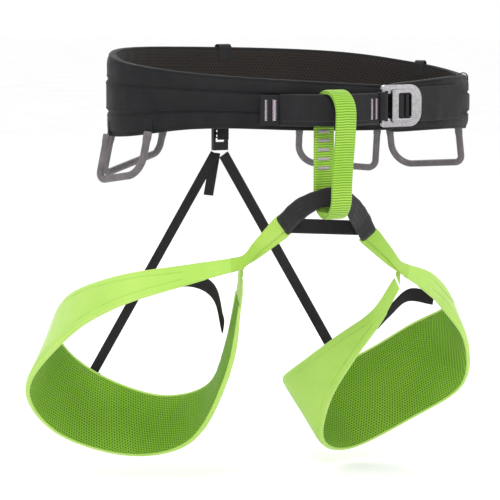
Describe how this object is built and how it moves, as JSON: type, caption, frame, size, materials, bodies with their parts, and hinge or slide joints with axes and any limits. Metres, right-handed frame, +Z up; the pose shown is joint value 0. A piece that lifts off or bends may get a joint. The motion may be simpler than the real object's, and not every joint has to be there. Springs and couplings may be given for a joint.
{
  "type": "sport climbing harness",
  "caption": "Padded waist belt and padded leg loops joined by a webbing belay loop, with moulded gear loops, a metal strap buckle and elastic rear risers.",
  "frame": {"origin": "centre of the waist ring at the belt's mid height, where the wearer's waist holds it", "axes": "+Z up along the wearer's spine, -Y to the wearer's front, +X to the wearer's left"},
  "size_m": [0.4436, 0.3111, 0.4148],
  "materials": {
    "black_shell": "tight woven nylon, matt",
    "black_mesh": "spacer mesh",
    "black_webbing": "ribbed webbing",
    "black_elastic": "knitted elastic",
    "foam": "closed-cell foam",
    "lime_shell": "tight woven nylon, satin",
    "lime_mesh": "spacer mesh",
    "lime_webbing": "ribbed webbing",
    "bartack_thread": "thread",
    "grey_moulding": "satin moulded",
    "black_plastic": "moulded",
    "buckle_metal": "satin"
  },
  "bodies": {
    "root": {"belt_top_tabs": "black_webbing", "gear_anchors_left_front": "black_shell", "gear_anchors_left_rear": "black_shell", "gear_anchors_right_front": "black_shell", "gear_anchors_right_rear": "black_shell", "rear_belt_tab": "black_webbing", "rear_hook": "black_plastic", "strap_keeper": "black_elastic", "tie_in_anchor_patch": "black_webbing", "tie_in_fold": "black_webbing", "tie_in_webbing": "black_webbing", "waist_bottom_binding": "black_shell", "waist_foam": "foam", "waist_lining": "black_mesh", "waist_load_webbing": "black_webbing", "waist_shell": "black_shell", "waist_strap": "black_webbing", "waist_strap_tail": "black_webbing", "waist_top_binding": "black_shell"},
    "belay_loop": {"belay_loop_bartacks": "bartack_thread", "belay_loop_inner_ply": "lime_webbing", "belay_loop_outer_ply": "lime_webbing"},
    "leg_bridge": {"bridge_cross_strap": "black_webbing", "bridge_sleeve": "black_webbing", "left_tie_back_strand": "lime_webbing", "left_tie_front_strand": "lime_webbing", "right_tie_back_strand": "lime_webbing", "right_tie_front_strand": "lime_webbing"},
    "left_leg_loop": {"left_leg_edge_binding": "lime_shell", "left_leg_elastic": "black_elastic", "left_leg_foam": "foam", "left_leg_inner_strand": "lime_webbing", "left_leg_lining": "lime_mesh", "left_leg_outer_strand": "lime_webbing", "left_leg_riser_patch": "black_elastic", "left_leg_shell": "lime_shell"},
    "right_leg_loop": {"right_leg_edge_binding": "lime_shell", "right_leg_elastic": "black_elastic", "right_leg_foam": "foam", "right_leg_inner_strand": "lime_webbing", "right_leg_lining": "lime_mesh", "right_leg_outer_strand": "lime_webbing", "right_leg_riser_patch": "black_elastic", "right_leg_shell": "lime_shell"},
    "risers": {"riser_left": "black_elastic", "riser_right": "black_elastic", "riser_tail": "black_elastic"},
    "buckle": {"buckle_frame": "buckle_metal", "strap_fold": "black_webbing"},
    "buckle_slide": {"buckle_slide_plate": "buckle_metal"},
    "gear_loop_left_front": {"gear_loop_left_front": "grey_moulding"},
    "gear_loop_left_rear": {"gear_loop_left_rear": "grey_moulding"},
    "gear_loop_right_front": {"gear_loop_right_front": "grey_moulding"},
    "gear_loop_right_rear": {"gear_loop_right_rear": "grey_moulding"}
  },
  "joints": [
    {"name": "belay_swing", "type": "hinge", "parent": "root", "child": "belay_loop", "pos_m": [-0.025, -0.125, -0.01], "axis": [-1, 0, 0], "range_deg": [-8, 15], "stiffness_Nm_per_rad": 0.8},
    {"name": "bridge_hang", "type": "hinge", "parent": "belay_loop", "child": "leg_bridge", "pos_m": [-0.025, -0.125, -0.08], "axis": [-1, 0, 0], "range_deg": [-14.2, 7.6]},
    {"name": "riser_swing", "type": "hinge", "parent": "root", "child": "risers", "pos_m": [-0.014, 0.1166, -0.056], "axis": [-1, 0, 0], "range_deg": [-2.9, 5.5]},
    {"name": "left_leg_roll", "type": "hinge", "parent": "leg_bridge", "child": "left_leg_loop", "pos_m": [-0.078, -0.062, -0.143], "axis": [-0.1909, 0.84, -0.5078], "range_deg": [-10, 10], "stiffness_Nm_per_rad": 1},
    {"name": "right_leg_roll", "type": "hinge", "parent": "leg_bridge", "child": "right_leg_loop", "pos_m": [0.081, -0.062, -0.16], "axis": [0.2022, 0.8289, -0.5216], "range_deg": [-10, 10], "stiffness_Nm_per_rad": 1},
    {"name": "gear_loop_left_front_tilt", "type": "hinge", "parent": "root", "child": "gear_loop_left_front", "pos_m": [-0.1707, -0.01433, -0.03139], "axis": [-0.2453, 0.9658, -0.0842], "range_deg": [-8, 50], "stiffness_Nm_per_rad": 0.05},
    {"name": "gear_loop_left_rear_tilt", "type": "hinge", "parent": "root", "child": "gear_loop_left_rear", "pos_m": [-0.12212, 0.06925, -0.03489], "axis": [0.8661, 0.4999, -0.0003], "range_deg": [-8, 50], "stiffness_Nm_per_rad": 0.05},
    {"name": "gear_loop_right_front_tilt", "type": "hinge", "parent": "root", "child": "gear_loop_right_front", "pos_m": [0.16799, 0.0318, -0.03717], "axis": [0.5168, -0.8556, 0.031], "range_deg": [-8, 50], "stiffness_Nm_per_rad": 0.05},
    {"name": "gear_loop_right_rear_tilt", "type": "hinge", "parent": "root", "child": "gear_loop_right_rear", "pos_m": [0.10206, 0.08383, -0.0379], "axis": [0.9382, -0.3458, -0.0122], "range_deg": [-8, 50], "stiffness_Nm_per_rad": 0.05},
    {"name": "buckle_tilt", "type": "hinge", "parent": "root", "child": "buckle", "pos_m": [0.0282, -0.11678, -0.005], "axis": [0, 0, -1], "range_deg": [0, 40]},
    {"name": "buckle_plate_slide", "type": "slide", "parent": "buckle", "child": "buckle_slide", "axis": [0.9903, 0.1392, 0], "range_m": [-0.0015, 0]}
  ],
  "couplings": [
    {"joint": "bridge_hang", "follows": "belay_swing", "ratio": -0.94},
    {"joint": "riser_swing", "follows": "belay_swing", "ratio": 0.36}
  ]
}
